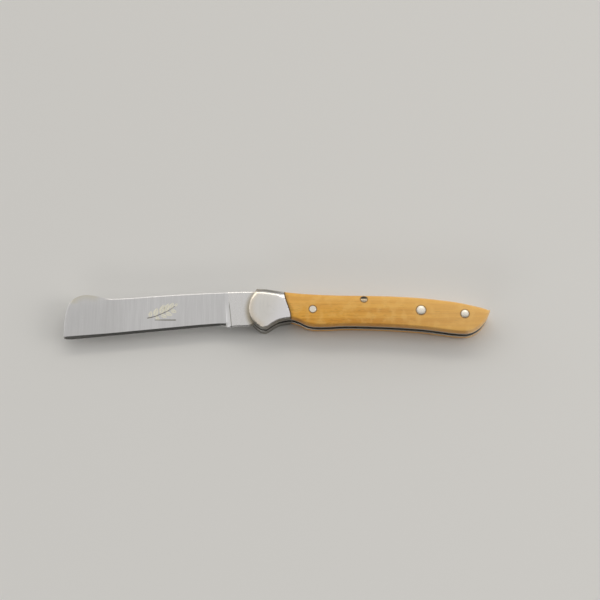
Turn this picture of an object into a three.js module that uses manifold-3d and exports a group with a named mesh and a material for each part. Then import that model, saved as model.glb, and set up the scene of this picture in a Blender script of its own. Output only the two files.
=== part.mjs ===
// A folding grafting knife, open and lying on its right side.
// The blade has a rounded bark lifter on its spine, and folds into a slot between two liners.
// Each liner carries a metal bolster in front and a wooden scale behind.
// A backspring fills the spine side of the slot and bears on the tang.
//
// Millimetres. The pivot's axis is X = 0, Y = 0. X runs to the butt, Y to the spine and Z up.
// Z = 0 is the outer face of the right side, and Z = HANDLE_THICKNESS that of the left side.

import * as THREE from "three";
import { mergeVertices } from "three/addons/utils/BufferGeometryUtils.js";
import Module from "manifold-3d";

const wasm = await Module();
wasm.setup();

// Thickness of the handle and of its layers
const HANDLE_THICKNESS = 12;
const SCALE_THICKNESS = 3.6;
const LINER_THICKNESS = 1;
const SLOT_WIDTH = HANDLE_THICKNESS - 2 * (SCALE_THICKNESS + LINER_THICKNESS);
const MIDDLE = HANDLE_THICKNESS / 2;
const WASHER_THICKNESS = 0.2;
const TANG_CLEARANCE = 0.03;
const BLADE_THICKNESS = SLOT_WIDTH - 2 * (WASHER_THICKNESS + TANG_CLEARANCE);

// Rounding of the handle's outer edges: how far it reaches in from the outline, and in depth
const ROUNDING_IN = 2.6;
const ROUNDING_DEPTH = 2.6;
const ROUNDING_STEPS = 5;

// The handle's outline
const BUTT_TIP = [97, 0.45];
const BELLY_END = [86.4, -9.8];
const SPINE = [
  [-14, 10.75],
  [-5.5, 10.5],
  [-1.5, 10.35],
  [4, 9.5],
  [9.2, 8.75],
  [18, 8],
  [31, 7.45],
  [51, 7.15],
  [66, 6.33],
  [79.2, 4.82],
  [85, 3.8],
  [90.2, 2.62],
  [94, 1.6],
  BUTT_TIP,
];
const BUTT = [
  BUTT_TIP,
  [95.6, -3],
  [94.1, -5.2],
  [92.4, -7],
  [90.6, -8.3],
  [88.6, -9.3],
  BELLY_END,
];
const BELLY = [
  BELLY_END,
  [83, -9.7],
  [79.2, -9.3],
  [75, -8.7],
  [66, -7.6],
  [51.5, -6.65],
  [35, -6.2],
  [26, -6.6],
  [21, -6.65],
  [18.5, -6.45],
  [16.2, -5.8],
  [13.6, -4.5],
  [11.6, -3.7],
  [9.4, -3.25],
  [6.6, -3.6],
  [4, -4.3],
  [1.4, -5.8],
  [-0.4, -7.1],
];
// The butt's pointed tip is worn round, from the spine to the butt.
const TIP_ROUND_START = [96.2, 0.774];
const TIP_ROUND_END = [96.542, -0.75];
const SCALE_FRONT = [
  [0, -3.6],
  [0, 10],
];
const SCALE_START_X = 6;
// Outline points nearer the sharp tip than this would make the rounding's inner line cross itself.
const TIP_SPACING = 4.5;

// The bolster's bulging front, and the pointed corner below it
const BOLSTER_FRONT = [
  [-3.9, 11.8],
  [-5.25, 10.1],
  [-6.65, 7.9],
  [-7.95, 5.4],
  [-8.6, 2.6],
  [-8.65, 0.3],
  [-8.25, -1.8],
  [-7.1, -4.1],
  [-5.5, -5.8],
  [-3.7, -7.1],
];
const CORNER_PEAK = [-2.0, -7.9];

// The curved joint between bolster and scale, and the hairline gap along it
const JOINT = [
  [6.4, 12],
  [6.5, 9],
  [7.05, 5.9],
  [8.05, 2.8],
  [9.1, -0.4],
  [9.45, -2.6],
  [9.45, -5.5],
];
const JOINT_GAP = 0.16;

// The cutting shapes' outer bounds, all well outside the handle
const LEFT_OF_ALL = -20;
const RIGHT_OF_ALL = 120;
const BELOW_ALL = -20;
const ABOVE_ALL = 20;

// Pins and rivets: places on the side of the handle, and radii
const PIVOT_RADIUS = 2;
const SPRING_PIN = { x: 41.6, y: 5.1, radius: 1.4 };
const FRONT_RIVET = { x: 19.2, y: 0.5, radius: 1.5 };
const MIDDLE_RIVET = { x: 66.5, y: 0, radius: 1.25, head: 2.0 };
const REAR_RIVET = { x: 85.6, y: -1.65, radius: 1.25, head: 1.75 };
const HEAD_HEIGHT = 0.4;
const BOLSTER_RIVETS = [
  { name: "front", x: -4.2, y: -1.9, radius: 0.9 },
  { name: "rear", x: 4.6, y: 5.2, radius: 0.9 },
];
const FIXED_CLEARANCE = 0.03;
const RUNNING_CLEARANCE = 0.06;
const WASHER_RADIUS = 4.6;
const PIVOT_FACETS = 48;
const RIVET_FACETS = 24;

// The blade
const TANG_RADIUS = 5.2;
const TANG_START_ANGLE = 3.95;
const SHOULDER_X = -5.35;
const BLADE_SPINE = [
  [SHOULDER_X, 9.85],
  [-12.6, 9.75],
  [-20.5, 9.5],
  [-31, 9.05],
  [-41.5, 8.45],
  [-52, 7.7],
  [-62.5, 6.9],
  [-69.5, 6.55],
];
const BARK_LIFTER = [
  [-69.5, 6.55],
  [-72.7, 6.95],
  [-75.6, 7.7],
  [-78.5, 8.2],
  [-80.8, 8.4],
  [-83.2, 8.0],
  [-85.6, 6.95],
  [-87.4, 5.3],
  [-88.6, 3.1],
  [-89.4, 0.1],
  [-89.9, -4],
  [-90, -8],
  [-89.95, -10.9],
];
const TIP_CORNER = [-89.7, -11.35];
const EDGE_TIP = [-86.4, -11.68];
const EDGE_HEEL = [-18.4, -5.03];
const HEEL = [
  [-21.6, -5.34],
  [-19.4, -5.62],
  [-18.4, -6.05],
  [-17.6, -6.4],
  [-16.4, -6.05],
  [-14.1, -5.7],
  [-9.4, -5.55],
  [-7.6, -5.05],
  [-5.7, -4.15],
];
const EDGE_HALF = 0.04;
const EDGE_FLAT = 0.06;
const PLUNGE_BACK = 0.3;
const BEVEL = { width: 1.2, half: 0.48 };
const SPINE_HEIGHT = 20;
const GRINDING_REACH = 80;
const BELOW_EDGE = -3;

// The backspring
const SPRING_SINK = 0.15;
const SPRING_FRONT = [
  [-5, 5.45],
  [-5, 9.85],
];
const SPRING_TOP_END_X = 94.6;
const SPRING_END = [96, -0.9];
const SPRING_UNDERSIDE = [
  [94.1, -4.6],
  [86, -3.85],
  [69, -2.3],
  [65.5, -1.7],
  [62, 1.0],
  [58, 2.6],
  [41.6, 3.0],
  [25, 3.8],
  [12, 5.1],
  [8, 5.45],
];

// Vertices nearer than this are one vertex.
const WELD = 1e-3;

// ---- Geometry helpers ----

// A closed three.js geometry as a manifold-3d solid.
function solidOf(geometry) {
  geometry.deleteAttribute("normal");
  geometry.deleteAttribute("uv");
  const merged = mergeVertices(geometry, WELD);
  const shell = new wasm.Mesh({
    numProp: 3,
    vertProperties: new Float32Array(merged.attributes.position.array),
    triVerts: new Uint32Array(merged.index.array),
  });
  return new wasm.Manifold(shell);
}

// A manifold-3d solid as a three.js geometry.
function geometryOf(solid) {
  const shell = solid.getMesh();
  const geometry = new THREE.BufferGeometry();
  geometry.setAttribute("position", new THREE.BufferAttribute(shell.vertProperties, 3));
  geometry.setIndex(new THREE.BufferAttribute(shell.triVerts, 1));
  geometry.computeVertexNormals();
  return geometry;
}

function vectors(pairs) {
  return pairs.map(([x, y]) => new THREE.Vector2(x, y));
}

// A smooth line through the given points, as a run of short straight steps.
function smooth(pairs, stepsPerPoint) {
  return new THREE.SplineCurve(vectors(pairs)).getPoints(pairs.length * stepsPerPoint);
}

// A flat plate of the given outline between two heights.
function plate(outline, low, high) {
  const geometry = new THREE.ExtrudeGeometry(new THREE.Shape(outline), {
    depth: high - low,
    bevelEnabled: false,
  });
  return solidOf(geometry.translate(0, 0, low));
}

// The full thickness of the handle in the given outline, rounded along both outer faces.
function roundedBody(outline) {
  const geometry = new THREE.ExtrudeGeometry(new THREE.Shape(outline), {
    depth: HANDLE_THICKNESS - 2 * ROUNDING_DEPTH,
    bevelEnabled: true,
    bevelThickness: ROUNDING_DEPTH,
    bevelSize: ROUNDING_IN,
    bevelOffset: -ROUNDING_IN,
    bevelSegments: ROUNDING_STEPS,
  });
  return solidOf(geometry.translate(0, 0, ROUNDING_DEPTH));
}

// An upright round rod, used both as a pin and as the cutter of its hole.
function rod(place, radius, low, high, facets = RIVET_FACETS) {
  const geometry = new THREE.CylinderGeometry(radius, radius, high - low, facets);
  geometry.rotateX(Math.PI / 2);
  return solidOf(geometry.translate(place.x, place.y, (low + high) / 2));
}

function cutHoles(solid, holes) {
  const low = -1;
  const high = HANDLE_THICKNESS + 1;
  return holes.reduce((body, { place, radius, facets }) => {
    return body.subtract(rod(place, radius, low, high, facets));
  }, solid);
}

function fixedHole(place) {
  return { place, radius: place.radius + FIXED_CLEARANCE, facets: RIVET_FACETS };
}

// ---- Outlines shared by the layers of the handle ----

const PIVOT = { x: 0, y: 0 };
const spineLine = smooth(SPINE, 2);
const buttLine = smooth(BUTT, 1).slice(1);
const bellyLine = smooth(BELLY, 3).slice(1);
const jointLine = smooth(JOINT, 2);

// Whether an outline point is the butt's tip, or far enough from it.
function clearOfTip(point) {
  const tip = spineLine[spineLine.length - 1];
  return point === tip || point.distanceTo(tip) > TIP_SPACING;
}

// Everything below the spine, from in front of the bolster to the butt.
function underSpine() {
  const below = vectors([[BUTT_TIP[0], BELOW_ALL], [SPINE[0][0], BELOW_ALL]]);
  return [...spineLine.filter(clearOfTip), ...below];
}

// The scale's side, drawn on past the joint so that only its real edges are rounded.
function scaleSide() {
  const behind = (point) => point.x > SCALE_START_X;
  const edge = [...spineLine, ...buttLine, ...bellyLine].filter(behind).filter(clearOfTip);
  return [...edge, ...vectors(SCALE_FRONT)];
}

// A rounded corner between two points, bent towards a third.
function roundedCorner(start, peak, end) {
  return new THREE.QuadraticBezierCurve(...vectors([start, peak, end])).getPoints(5);
}

// The bolster's front and the belly: the outline's left and lower sides, open at the top.
function bolsterToBelly() {
  const start = vectors([[BOLSTER_FRONT[0][0], ABOVE_ALL]]);
  const cornerStart = BOLSTER_FRONT[BOLSTER_FRONT.length - 1];
  const cornerEnd = BELLY[BELLY.length - 1];
  const corner = roundedCorner(cornerStart, CORNER_PEAK, cornerEnd);
  const belly = [...bellyLine].reverse().slice(1);
  return [...start, ...smooth(BOLSTER_FRONT, 2), ...corner.slice(1), ...belly];
}

// The region in front of the joint, moved back or forward by half the hairline gap.
function beforeJoint(shift) {
  const joint = jointLine.map((point) => new THREE.Vector2(point.x + shift, point.y));
  const foot = new THREE.Vector2(joint[joint.length - 1].x, BELOW_ALL);
  const front = vectors([[LEFT_OF_ALL, BELOW_ALL], [LEFT_OF_ALL, JOINT[0][1]]]);
  return [...joint, foot, ...front];
}

const bolsterRounding = roundedBody(underSpine());
const scaleRounding = roundedBody(scaleSide());

// ---- The sub-parts ----

const leftLayers = {
  linerLow: MIDDLE + SLOT_WIDTH / 2,
  linerHigh: MIDDLE + SLOT_WIDTH / 2 + LINER_THICKNESS,
  outerHigh: HANDLE_THICKNESS,
};

// Takes off the sharp tip of the butt beyond its rounded corner.
function withRoundTip(solid, low, high) {
  const corner = roundedCorner(TIP_ROUND_START, BUTT_TIP, TIP_ROUND_END);
  const beyond = vectors([
    [RIGHT_OF_ALL, TIP_ROUND_END[1]],
    [RIGHT_OF_ALL, ABOVE_ALL],
    [TIP_ROUND_START[0], ABOVE_ALL],
  ]);
  return solid.subtract(plate([...corner, ...beyond], low - 1, high + 1));
}

// The right side's layers are the left side's, mirrored in the knife's middle plane.
function sideRange(side, low, high) {
  return side === "left" ? [low, high] : [HANDLE_THICKNESS - high, HANDLE_THICKNESS - low];
}

function linerSolid(side) {
  const [low, high] = sideRange(side, leftLayers.linerLow, leftLayers.linerHigh);
  const plan = [...bolsterToBelly(), ...[...buttLine].reverse().slice(1)];
  const back = vectors([BUTT_TIP, [BUTT_TIP[0], ABOVE_ALL]]);
  const body = plate([...plan, ...back], low, high).intersect(plate(underSpine(), low, high));
  return cutHoles(withRoundTip(body, low, high), [
    { place: PIVOT, radius: PIVOT_RADIUS + FIXED_CLEARANCE, facets: PIVOT_FACETS },
    ...[SPRING_PIN, FRONT_RIVET, MIDDLE_RIVET, REAR_RIVET, ...BOLSTER_RIVETS].map(fixedHole),
  ]);
}

function bolsterSolid(side) {
  const [low, high] = sideRange(side, leftLayers.linerHigh, leftLayers.outerHigh);
  const plan = [...bolsterToBelly(), ...vectors([[BELLY_END[0], ABOVE_ALL]])];
  const body = plate(plan, low, high)
    .intersect(plate(beforeJoint(-JOINT_GAP / 2), low, high))
    .intersect(bolsterRounding);
  return cutHoles(body, [
    { place: PIVOT, radius: PIVOT_RADIUS + FIXED_CLEARANCE, facets: PIVOT_FACETS },
    ...BOLSTER_RIVETS.map(fixedHole),
  ]);
}

function scaleSolid(side) {
  const [low, high] = sideRange(side, leftLayers.linerHigh, leftLayers.outerHigh);
  const everywhere = vectors([
    [LEFT_OF_ALL, BELOW_ALL],
    [RIGHT_OF_ALL, BELOW_ALL],
    [RIGHT_OF_ALL, ABOVE_ALL],
    [LEFT_OF_ALL, ABOVE_ALL],
  ]);
  const body = plate(everywhere, low, high)
    .intersect(scaleRounding)
    .subtract(plate(beforeJoint(JOINT_GAP / 2), low - 1, high + 1));
  const pins = [SPRING_PIN, FRONT_RIVET, MIDDLE_RIVET, REAR_RIVET];
  return cutHoles(withRoundTip(body, low, high), pins.map(fixedHole));
}

function springSolid() {
  const low = MIDDLE - SLOT_WIDTH / 2;
  const high = MIDDLE + SLOT_WIDTH / 2;
  const frontX = SPRING_FRONT[0][0];
  const back = spineLine.filter((point) => point.x > frontX && point.x < SPRING_TOP_END_X);
  const top = back.map((point) => new THREE.Vector2(point.x, point.y - SPRING_SINK));
  const ends = [vectors(SPRING_FRONT), vectors([SPRING_END])];
  const outline = [...ends[0], ...top, ...ends[1], ...smooth(SPRING_UNDERSIDE, 2)];
  const body = plate(outline, low, high);
  return cutHoles(body, [SPRING_PIN, MIDDLE_RIVET, REAR_RIVET].map(fixedHole));
}

// The blade in plan: the spine, the bark lifter, the tip, the straight edge, the heel and the tang.
function bladeOutline() {
  const tang = new THREE.EllipseCurve(
    0, 0, TANG_RADIUS, TANG_RADIUS, TANG_START_ANGLE, 2.5 * Math.PI, false,
  ).getPoints(36);
  return [
    ...smooth(BLADE_SPINE, 2),
    ...smooth(BARK_LIFTER, 2).slice(1),
    ...vectors([TIP_CORNER, EDGE_TIP]),
    ...smooth(HEEL, 2),
    ...tang,
    ...vectors([[SHOULDER_X, TANG_RADIUS]]),
  ];
}

// What the grinding takes off one face: a shallow taper from spine to bevel, then the bevel.
// The profile runs up from the edge in X and through the thickness in Y, and is then laid along it.
function grindingCutter(face) {
  const half = BLADE_THICKNESS / 2;
  const profile = vectors([
    [BELOW_EDGE, face * EDGE_HALF],
    [EDGE_FLAT, face * EDGE_HALF],
    [BEVEL.width, face * BEVEL.half],
    [SPINE_HEIGHT, face * half],
    [SPINE_HEIGHT, face * (half + 1)],
    [BELOW_EDGE, face * (half + 1)],
  ]);
  const [tipX, tipY] = EDGE_TIP;
  const [heelX, heelY] = EDGE_HEEL;
  const slope = Math.atan2(heelY - tipY, heelX - tipX);
  const geometry = new THREE.ExtrudeGeometry(new THREE.Shape(profile), {
    depth: GRINDING_REACH,
    bevelEnabled: false,
  });
  // Profile X becomes the height above the edge, profile Y the height above the middle plane.
  geometry.applyMatrix4(new THREE.Matrix4().makeBasis(
    new THREE.Vector3(0, 1, 0),
    new THREE.Vector3(0, 0, 1),
    new THREE.Vector3(1, 0, 0),
  ));
  geometry.translate(-GRINDING_REACH - PLUNGE_BACK, 0, 0);
  geometry.rotateZ(slope);
  return solidOf(geometry.translate(heelX, heelY, MIDDLE));
}

function bladeSolid() {
  const low = MIDDLE - BLADE_THICKNESS / 2;
  const high = MIDDLE + BLADE_THICKNESS / 2;
  const ground = plate(bladeOutline(), low, high)
    .subtract(grindingCutter(1))
    .subtract(grindingCutter(-1));
  return cutHoles(ground, [
    { place: PIVOT, radius: PIVOT_RADIUS + RUNNING_CLEARANCE, facets: PIVOT_FACETS },
  ]);
}

function washerSolid(side) {
  const low = leftLayers.linerLow - WASHER_THICKNESS;
  const range = sideRange(side, low, leftLayers.linerLow);
  return cutHoles(rod(PIVOT, WASHER_RADIUS, ...range, PIVOT_FACETS), [
    { place: PIVOT, radius: PIVOT_RADIUS + FIXED_CLEARANCE, facets: PIVOT_FACETS },
  ]);
}

// A rivet through the whole handle, with a low domed head on each scale.
function domedRivetGeometry({ x, y, radius, head }) {
  const half = HANDLE_THICKNESS / 2;
  const dome = [
    [radius, half],
    [head, half],
    [head * 0.92, half + HEAD_HEIGHT * 0.5],
    [head * 0.6, half + HEAD_HEIGHT * 0.88],
    [0, half + HEAD_HEIGHT],
  ];
  const foot = [...dome].reverse().map(([r, height]) => [r, -height]);
  const geometry = new THREE.LatheGeometry(vectors([...foot, ...dome]), RIVET_FACETS);
  // The lathe turns about Y, starting from Z, while the holes' facets start from X.
  geometry.rotateX(Math.PI / 2);
  return geometryOf(solidOf(geometry.translate(x, y, MIDDLE)));
}

// ---- The assembly ----

const COLOURS = {
  bladeSteel: { color: 0xb9b9b6, roughness: 0.34, metalness: 1 },
  springSteel: { color: 0xa9a9a6, roughness: 0.38, metalness: 1 },
  bolsterMetal: { color: 0xc9c6bd, roughness: 0.3, metalness: 1 },
  boxwood: { color: 0xc98f3c, roughness: 0.45, metalness: 0 },
  pinSteel: { color: 0xc9c9c9, roughness: 0.28, metalness: 1 },
  brass: { color: 0xb8954a, roughness: 0.35, metalness: 1 },
};

const knife = new THREE.Group();

function addPart(name, geometry, finish) {
  const mesh = new THREE.Mesh(geometry, new THREE.MeshStandardMaterial(COLOURS[finish]));
  mesh.name = name;
  knife.add(mesh);
}

addPart("blade", geometryOf(bladeSolid()), "bladeSteel");
addPart("backspring", geometryOf(springSolid()), "springSteel");
for (const side of ["left", "right"]) {
  addPart(`${side}_liner`, geometryOf(linerSolid(side)), "springSteel");
  addPart(`${side}_bolster`, geometryOf(bolsterSolid(side)), "bolsterMetal");
  addPart(`${side}_scale`, geometryOf(scaleSolid(side)), "boxwood");
  addPart(`${side}_pivot_washer`, geometryOf(washerSolid(side)), "brass");
  const throughLiner = sideRange(side, leftLayers.linerLow, leftLayers.outerHigh);
  const frontRivet = rod(FRONT_RIVET, FRONT_RIVET.radius, ...throughLiner);
  addPart(`${side}_front_scale_rivet`, geometryOf(frontRivet), "pinSteel");
  for (const rivet of BOLSTER_RIVETS) {
    const body = rod(rivet, rivet.radius, ...throughLiner);
    addPart(`${side}_bolster_rivet_${rivet.name}`, geometryOf(body), "bolsterMetal");
  }
}
const pivotPin = rod(PIVOT, PIVOT_RADIUS, 0, HANDLE_THICKNESS, PIVOT_FACETS);
addPart("pivot_pin", geometryOf(pivotPin), "bolsterMetal");
// The spring pin lies so near the spine that its ends are ground to the scales' rounded edge.
const springPin = rod(SPRING_PIN, SPRING_PIN.radius, 0, HANDLE_THICKNESS);
addPart("spring_pin", geometryOf(springPin.intersect(scaleRounding)), "pinSteel");
addPart("middle_rivet", domedRivetGeometry(MIDDLE_RIVET), "pinSteel");
addPart("rear_rivet", domedRivetGeometry(REAR_RIVET), "pinSteel");

export default knife;
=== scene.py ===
"""A folding grafting knife, open and lying on its right side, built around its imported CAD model."""

import math

import bmesh
import bpy
import numpy as np
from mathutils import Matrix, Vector
from mathutils.geometry import delaunay_2d_cdt


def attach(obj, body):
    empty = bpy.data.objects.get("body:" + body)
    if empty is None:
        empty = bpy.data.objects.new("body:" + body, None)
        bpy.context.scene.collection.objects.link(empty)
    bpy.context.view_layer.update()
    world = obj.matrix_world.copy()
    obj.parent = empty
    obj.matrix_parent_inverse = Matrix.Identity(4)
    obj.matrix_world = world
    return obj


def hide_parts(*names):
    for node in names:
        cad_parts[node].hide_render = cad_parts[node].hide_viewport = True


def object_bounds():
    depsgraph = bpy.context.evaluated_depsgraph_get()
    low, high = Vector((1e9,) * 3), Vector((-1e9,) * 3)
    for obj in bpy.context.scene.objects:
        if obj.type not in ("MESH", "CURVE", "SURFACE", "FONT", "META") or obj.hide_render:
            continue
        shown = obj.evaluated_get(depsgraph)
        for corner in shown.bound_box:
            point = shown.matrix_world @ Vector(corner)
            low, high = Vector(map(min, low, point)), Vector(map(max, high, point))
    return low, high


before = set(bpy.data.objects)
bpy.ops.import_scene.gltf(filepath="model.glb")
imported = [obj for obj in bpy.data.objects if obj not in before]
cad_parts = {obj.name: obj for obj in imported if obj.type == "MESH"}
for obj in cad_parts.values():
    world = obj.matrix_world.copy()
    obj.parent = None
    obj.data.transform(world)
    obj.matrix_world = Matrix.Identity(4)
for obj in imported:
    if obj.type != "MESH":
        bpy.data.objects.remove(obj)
CAD_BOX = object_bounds()

MM = 0.001


# ------------------------ camera, floor and light

# Where the picture's centre meets the handle's upper face, in mm, and the width seen there
LOOK_AT = (13.6, 4.6, 12.0)
SEEN_WIDTH = 262.5
ELEVATION = 73.0
LENS = 100.0
SENSOR = 36.0

# How bright the studio is in each direction
SKY_FRONT = 0.05
SKY_OVERHEAD = 0.74
SKY_LOW_BEHIND = -0.35
SKY_ENDS = 0.35

# Each light's name, place in metres, size, power and colour. All of them point at the pivot.
LIGHTS = [
    ("back_strip", (0.0, 0.72, 0.86), (1.6, 0.22), 2.0, (1.0, 0.94, 0.83)),
    ("right_side", (1.05, -0.1, 0.5), (0.5, 0.5), 2.6, (1.0, 0.96, 0.9)),
    ("low_front", (-0.5, -0.95, 0.42), (0.9, 0.25), 1.8, (1.0, 0.97, 0.92)),
]

FLOOR_HALF = 3.0
FLOOR_COLOUR = (0.82, 0.82, 0.81)


def look_from(obj, place, target):
    obj.location = place
    obj.rotation_euler = (Vector(target) - Vector(place)).to_track_quat("-Z", "Y").to_euler()


def add_camera():
    data = bpy.data.cameras.new("camera")
    data.lens = LENS
    data.sensor_width = SENSOR
    data.clip_start = 0.01
    camera = bpy.data.objects.new("camera", data)
    bpy.context.scene.collection.objects.link(camera)
    distance = SEEN_WIDTH / SENSOR * LENS * MM
    tilt = math.radians(ELEVATION)
    target = Vector(LOOK_AT) * MM
    place = target + distance * Vector((0, -math.cos(tilt), math.sin(tilt)))
    look_from(camera, place, target)
    bpy.context.scene.camera = camera


def add_area_light(name, place, size, power, colour):
    data = bpy.data.lights.new(name, "AREA")
    data.shape = "RECTANGLE"
    data.size, data.size_y = size
    data.energy = power
    data.color = colour
    light = bpy.data.objects.new(name, data)
    bpy.context.scene.collection.objects.link(light)
    look_from(light, place, (0, 0, 0))


def add_world():
    """A soft studio: dim on the viewer's side, bright overhead, brighter past the knife's ends."""
    world = bpy.data.worlds.new("studio")
    bpy.context.scene.world = world
    world.use_nodes = True
    tree = world.node_tree
    tree.nodes.clear()
    direction = tree.nodes.new("ShaderNodeTexCoord")
    split = tree.nodes.new("ShaderNodeSeparateXYZ")
    tree.links.new(direction.outputs["Generated"], split.inputs[0])
    sideways = tree.nodes.new("ShaderNodeMath")
    sideways.operation = "ABSOLUTE"
    tree.links.new(split.outputs["X"], sideways.inputs[0])

    def ramp(source, low, high, at_low, at_high):
        made = tree.nodes.new("ShaderNodeMapRange")
        made.interpolation_type = "SMOOTHSTEP"
        made.inputs["From Min"].default_value = low
        made.inputs["From Max"].default_value = high
        made.inputs["To Min"].default_value = at_low
        made.inputs["To Max"].default_value = at_high
        tree.links.new(source, made.inputs["Value"])
        return made.outputs[0]

    def total(first, second):
        made = tree.nodes.new("ShaderNodeMath")
        tree.links.new(first, made.inputs[0])
        tree.links.new(second, made.inputs[1])
        return made.outputs[0]

    overhead = ramp(split.outputs["Y"], -0.32, 0.20, SKY_FRONT, SKY_OVERHEAD)
    low_behind = ramp(split.outputs["Y"], 0.75, 0.97, 0.0, SKY_LOW_BEHIND)
    ends = ramp(sideways.outputs[0], 0.45, 0.85, 0.0, SKY_ENDS)
    background = tree.nodes.new("ShaderNodeBackground")
    background.inputs["Color"].default_value = (1.0, 0.985, 0.96, 1)
    output = tree.nodes.new("ShaderNodeOutputWorld")
    tree.links.new(total(total(overhead, low_behind), ends), background.inputs["Strength"])
    tree.links.new(background.outputs[0], output.inputs["Surface"])


def add_floor():
    """A large pale sheet, level with the lowest rivet heads."""
    lowest = CAD_BOX[0][2]
    mesh = bpy.data.meshes.new("floor")
    corners = [(-1, -1), (1, -1), (1, 1), (-1, 1)]
    places = [(x * FLOOR_HALF, y * FLOOR_HALF, lowest) for x, y in corners]
    mesh.from_pydata(places, [], [(0, 1, 2, 3)])
    floor = bpy.data.objects.new("floor", mesh)
    bpy.context.scene.collection.objects.link(floor)
    material = bpy.data.materials.new("floor_paper")
    material.use_nodes = True
    shader = material.node_tree.nodes["Principled BSDF"]
    shader.inputs["Base Color"].default_value = (*FLOOR_COLOUR, 1)
    shader.inputs["Roughness"].default_value = 0.9
    shader.inputs["Specular IOR Level"].default_value = 0.1
    mesh.materials.append(material)


add_camera()
add_world()
add_floor()
for light_row in LIGHTS:
    add_area_light(*light_row)
bpy.context.scene.view_settings.view_transform = "Standard"


# ------------------------ the design's sizes, in mm

THICKNESS = 12.0
SCALE = 3.6
LINER = 1.0
SLOT = 2.8
MIDDLE = THICKNESS / 2
BLADE_HALF = 1.17

BUTT_TIP = (97, 0.45)
TIP_ROUND_START = (96.2, 0.774)
TIP_ROUND_END = (96.542, -0.75)
SPINE = [(-14, 10.75), (-5.5, 10.5), (-1.5, 10.35), (4, 9.5), (9.2, 8.75), (18, 8.0), (31, 7.45),
         (51, 7.15), (66, 6.33), (79.2, 4.82), (85, 3.8), (90.2, 2.62), (94, 1.6), BUTT_TIP]
BUTT = [BUTT_TIP, (95.6, -3.0), (94.1, -5.2), (92.4, -7.0), (90.6, -8.3), (88.6, -9.3), (86.4, -9.8)]
BELLY = [(86.4, -9.8), (83, -9.7), (79.2, -9.3), (75, -8.7), (66, -7.6), (51.5, -6.65), (35, -6.2),
         (26, -6.6), (21, -6.65), (18.5, -6.45), (16.2, -5.8), (13.6, -4.5), (11.6, -3.7), (9.4, -3.25),
         (6.6, -3.6), (4, -4.3), (1.4, -5.8), (-0.4, -7.1)]
BOLSTER_FRONT = [(-3.9, 11.8), (-5.25, 10.1), (-6.65, 7.9), (-7.95, 5.4), (-8.6, 2.6), (-8.65, 0.3),
                 (-8.25, -1.8), (-7.1, -4.1), (-5.5, -5.8), (-3.7, -7.1)]
CORNER_PEAK = (-2.0, -7.9)
JOINT = [(6.4, 12), (6.5, 9), (7.05, 5.9), (8.05, 2.8), (9.1, -0.4), (9.45, -2.6), (9.45, -5.5)]
JOINT_GAP = 0.16

PIVOT = (0.0, 0.0)
PIVOT_RADIUS = 2.0
SPRING_PIN = (41.6, 5.1)
SPRING_PIN_RADIUS = 1.4
FRONT_RIVET = (19.2, 0.5)
FRONT_RIVET_RADIUS = 1.5
MIDDLE_RIVET = (66.5, 0.0)
MIDDLE_HEAD = 2.0
REAR_RIVET = (85.6, -1.65)
REAR_HEAD = 1.75
RIVET_SHANK = 1.25
SPRING_PINS = [(SPRING_PIN, SPRING_PIN_RADIUS), (MIDDLE_RIVET, RIVET_SHANK), (REAR_RIVET, RIVET_SHANK)]
HEAD_RIM = 0.07
HEAD_DOME = 0.21
HEAD_SUNK = 2.0

SHOULDER_X = -5.35
TANG_RADIUS = 5.2
TANG_START = 3.95
BLADE_SPINE = [(SHOULDER_X, 9.85), (-12.6, 9.75), (-20.5, 9.5), (-31, 9.05), (-41.5, 8.45),
               (-52, 7.7), (-62.5, 6.9), (-69.5, 6.55)]
BARK_LIFTER = [(-69.5, 6.55), (-72.7, 6.95), (-75.6, 7.7), (-78.5, 8.2), (-80.8, 8.4), (-83.2, 8.0),
               (-85.6, 6.95), (-87.4, 5.3), (-88.6, 3.1), (-89.4, 0.1), (-89.9, -4), (-90, -8),
               (-89.95, -10.9)]
LIFTER_FOOT = (-74.2, 7.3)
LIFTER_SUMMIT = (-86.2, 6.5)
TIP_CORNER = [(-89.95, -10.9), (-89.7, -11.35), (-88.5, -11.62), (-86.4, -11.68)]
EDGE_TIP = (-86.4, -11.68)
EDGE_HEEL = (-18.4, -5.03)
HEEL = [(-21.6, -5.34), (-19.4, -5.62), (-18.4, -6.05), (-17.6, -6.4), (-16.4, -6.05), (-14.1, -5.7),
        (-9.4, -5.55), (-7.6, -5.05), (-5.7, -4.15)]

SPRING_SINK = 0.15
SPRING_FRONT = [(-5, 5.45), (-5, 9.85)]
SPRING_TOP_END_X = 94.6
SPRING_END = (96, -0.9)
SPRING_UNDERSIDE = [(94.1, -4.6), (86, -3.85), (69, -2.3), (65.5, -1.7), (62, 1.0), (58, 2.6),
                    (41.6, 3.0), (25, 3.8), (12, 5.1), (8, 5.45)]


# ------------------------ lines in the plane

def catmull_rom(points, per_span=24):
    """A smooth line through the points, the same curve as the CAD's."""
    points = np.array(points, float)
    last = len(points) - 1
    out = []
    for i in range(last):
        p0, p1 = points[max(i - 1, 0)], points[i]
        p2, p3 = points[i + 1], points[min(i + 2, last)]
        v0, v1 = (p2 - p0) / 2, (p3 - p1) / 2
        for t in np.arange(per_span) / per_span:
            out.append((2 * p1 - 2 * p2 + v0 + v1) * t**3
                       + (-3 * p1 + 3 * p2 - 2 * v0 - v1) * t**2 + v0 * t + p1)
    out.append(points[-1])
    return np.array(out)


def quadratic(points, steps=24):
    a, b, c = (np.array(p, float) for p in points)
    t = np.linspace(0, 1, steps + 1)[:, None]
    return (1 - t) ** 2 * a + 2 * t * (1 - t) * b + t**2 * c


def arc(centre, radius, start, end, steps=48):
    angle = np.linspace(start, end, steps + 1)
    return np.array(centre) + radius * np.column_stack([np.cos(angle), np.sin(angle)])


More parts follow.
